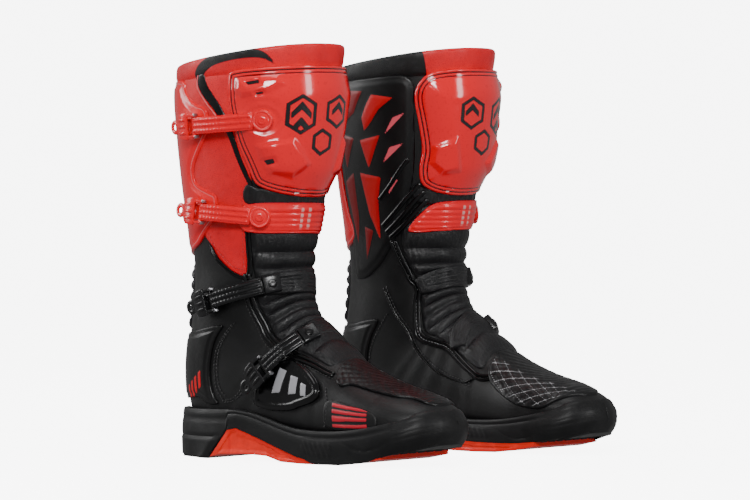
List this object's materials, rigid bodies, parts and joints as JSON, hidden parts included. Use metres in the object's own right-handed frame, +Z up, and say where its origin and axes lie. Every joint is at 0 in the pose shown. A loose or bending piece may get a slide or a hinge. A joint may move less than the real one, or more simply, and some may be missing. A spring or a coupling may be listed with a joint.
{
  "type": "riding boots",
  "caption": "Pair of tall moulded off-road riding boots with flexing ankles, ribbed bellows, shin plates, rubber cup soles and straps closed by hinged lever buckles.",
  "frame": {"origin": "centre of the pair's bounding box on the ground, midway between the two boots", "axes": "+X to the toes, +Y to the wearer's left, +Z up along the shafts"},
  "size_m": [0.317, 0.3916, 0.3901],
  "materials": {
    "red_plastic": "glossy, lightly textured",
    "black_plastic": "satin, fine grain",
    "sole_rubber": "matte",
    "black_rubber": "matte, ribbed",
    "red_rubber": "dotted grip",
    "red_leather": "soft, padded",
    "black_leather": "grained, ribbed",
    "lining": "mesh over foam",
    "board": "fibre board",
    "steel": "brushed"
  },
  "bodies": {
    "right_foot": {"right_outsole": "sole_rubber", "right_sole_insert": "red_rubber", "right_shank": "steel", "right_insole_board": "board", "right_footbed": "lining", "right_foot_shell": "black_plastic", "right_heel_counter": "black_plastic", "right_shift_pad": "black_rubber", "right_ankle_guard": "black_plastic", "right_instep_buckle_base": "black_plastic", "right_foot_fasteners": "steel"},
    "right_shaft": {"right_shaft_shell": "red_plastic", "right_calf_guard": "black_plastic", "right_calf_plate": "red_plastic", "right_shin_plate": "red_plastic", "right_front_band": "red_plastic", "right_collar": "red_leather", "right_liner": "lining", "right_front_bellows": "black_leather", "right_rear_bellows": "black_leather", "right_buckle_bases": "red_plastic", "right_shaft_fasteners": "steel"},
    "right_top_strap": {"right_top_strap": "red_plastic"},
    "right_top_lever": {"right_top_lever": "red_plastic"},
    "right_calf_strap": {"right_calf_strap": "red_plastic"},
    "right_calf_lever": {"right_calf_lever": "red_plastic"},
    "right_ankle_strap": {"right_ankle_strap": "black_plastic"},
    "right_ankle_lever": {"right_ankle_lever": "black_plastic"},
    "right_instep_strap": {"right_instep_strap": "black_plastic"},
    "right_instep_lever": {"right_instep_lever": "black_plastic"},
    "left_foot": {"left_outsole": "sole_rubber", "left_sole_insert": "red_rubber", "left_shank": "steel", "left_insole_board": "board", "left_footbed": "lining", "left_foot_shell": "black_plastic", "left_heel_counter": "black_plastic", "left_shift_pad": "black_rubber", "left_ankle_guard": "black_plastic", "left_instep_buckle_base": "black_plastic", "left_foot_fasteners": "steel"},
    "left_shaft": {"left_shaft_shell": "red_plastic", "left_calf_guard": "black_plastic", "left_calf_plate": "red_plastic", "left_shin_plate": "red_plastic", "left_front_band": "red_plastic", "left_collar": "red_leather", "left_liner": "lining", "left_front_bellows": "black_leather", "left_rear_bellows": "black_leather", "left_buckle_bases": "red_plastic", "left_shaft_fasteners": "steel"},
    "left_top_strap": {"left_top_strap": "red_plastic"},
    "left_top_lever": {"left_top_lever": "red_plastic"},
    "left_calf_strap": {"left_calf_strap": "red_plastic"},
    "left_calf_lever": {"left_calf_lever": "red_plastic"},
    "left_ankle_strap": {"left_ankle_strap": "black_plastic"},
    "left_ankle_lever": {"left_ankle_lever": "black_plastic"},
    "left_instep_strap": {"left_instep_strap": "black_plastic"},
    "left_instep_lever": {"left_instep_lever": "black_plastic"}
  },
  "joints": [
    {"name": "right_ankle_flex", "type": "hinge", "parent": "right_foot", "child": "right_shaft", "pos_m": [-0.0785, -0.117, 0.123], "axis": [0, 1, 0], "range_deg": [-8, 12], "stiffness_Nm_per_rad": 60, "deforming": ["right_liner", "right_front_bellows", "right_rear_bellows"]},
    {"name": "right_top_strap_swing", "type": "hinge", "parent": "right_shaft", "child": "right_top_strap", "pos_m": [-0.02943, -0.18293, 0.31719], "axis": [-0.0587, -0.0501, 0.997], "range_deg": [0, 60]},
    {"name": "right_top_lever_open", "type": "hinge", "parent": "right_top_strap", "child": "right_top_lever", "pos_m": [-0.09352, -0.19045, 0.31304], "axis": [-0.0587, -0.0501, 0.997], "range_deg": [0, 110]},
    {"name": "right_calf_strap_swing", "type": "hinge", "parent": "right_shaft", "child": "right_calf_strap", "pos_m": [-0.04389, -0.17012, 0.22872], "axis": [0.0643, 0.0607, 0.9961], "range_deg": [0, 60]},
    {"name": "right_calf_lever_open", "type": "hinge", "parent": "right_calf_strap", "child": "right_calf_lever", "pos_m": [-0.09448, -0.17972, 0.23257], "axis": [0.0643, 0.0607, 0.9961], "range_deg": [0, 110]},
    {"name": "right_ankle_strap_swing", "type": "hinge", "parent": "right_shaft", "child": "right_ankle_strap", "pos_m": [-0.03845, -0.15725, 0.16364], "axis": [-0.2686, -0.0161, 0.9631], "range_deg": [0, 60]},
    {"name": "right_ankle_lever_open", "type": "hinge", "parent": "right_ankle_strap", "child": "right_ankle_lever", "pos_m": [-0.08849, -0.17127, 0.14945], "axis": [-0.2686, -0.0161, 0.9631], "range_deg": [0, 110]},
    {"name": "right_instep_strap_swing", "type": "hinge", "parent": "right_foot", "child": "right_instep_strap", "pos_m": [0.00045, -0.14897, 0.11601], "axis": [-0.7206, 0.0567, 0.6911], "range_deg": [0, 60]},
    {"name": "right_instep_lever_open", "type": "hinge", "parent": "right_instep_strap", "child": "right_instep_lever", "pos_m": [-0.02776, -0.16732, 0.0881], "axis": [-0.7206, 0.0567, 0.6911], "range_deg": [0, 110]},
    {"name": "left_boot_lift", "type": "slide", "parent": "right_foot", "child": "left_foot", "axis": [0, 0, 1], "range_m": [0, 0.42]},
    {"name": "left_ankle_flex", "type": "hinge", "parent": "left_foot", "child": "left_shaft", "pos_m": [-0.0785, 0.117, 0.123], "axis": [0, 1, 0], "range_deg": [-8, 12], "stiffness_Nm_per_rad": 60, "deforming": ["left_liner", "left_front_bellows", "left_rear_bellows"]},
    {"name": "left_top_strap_swing", "type": "hinge", "parent": "left_shaft", "child": "left_top_strap", "pos_m": [-0.02943, 0.18293, 0.31719], "axis": [0.0587, -0.0501, -0.997], "range_deg": [0, 60]},
    {"name": "left_top_lever_open", "type": "hinge", "parent": "left_top_strap", "child": "left_top_lever", "pos_m": [-0.09352, 0.19045, 0.31304], "axis": [0.0587, -0.0501, -0.997], "range_deg": [0, 110]},
    {"name": "left_calf_strap_swing", "type": "hinge", "parent": "left_shaft", "child": "left_calf_strap", "pos_m": [-0.04389, 0.17012, 0.22872], "axis": [-0.0643, 0.0607, -0.9961], "range_deg": [0, 60]},
    {"name": "left_calf_lever_open", "type": "hinge", "parent": "left_calf_strap", "child": "left_calf_lever", "pos_m": [-0.09448, 0.17972, 0.23257], "axis": [-0.0643, 0.0607, -0.9961], "range_deg": [0, 110]},
    {"name": "left_ankle_strap_swing", "type": "hinge", "parent": "left_shaft", "child": "left_ankle_strap", "pos_m": [-0.03845, 0.15725, 0.16364], "axis": [0.2686, -0.0161, -0.9631], "range_deg": [0, 60]},
    {"name": "left_ankle_lever_open", "type": "hinge", "parent": "left_ankle_strap", "child": "left_ankle_lever", "pos_m": [-0.08849, 0.17127, 0.14945], "axis": [0.2686, -0.0161, -0.9631], "range_deg": [0, 110]},
    {"name": "left_instep_strap_swing", "type": "hinge", "parent": "left_foot", "child": "left_instep_strap", "pos_m": [0.00045, 0.14897, 0.11601], "axis": [0.7206, 0.0567, -0.6911], "range_deg": [0, 60]},
    {"name": "left_instep_lever_open", "type": "hinge", "parent": "left_instep_strap", "child": "left_instep_lever", "pos_m": [-0.02776, 0.16732, 0.0881], "axis": [0.7206, 0.0567, -0.6911], "range_deg": [0, 110]}
  ]
}
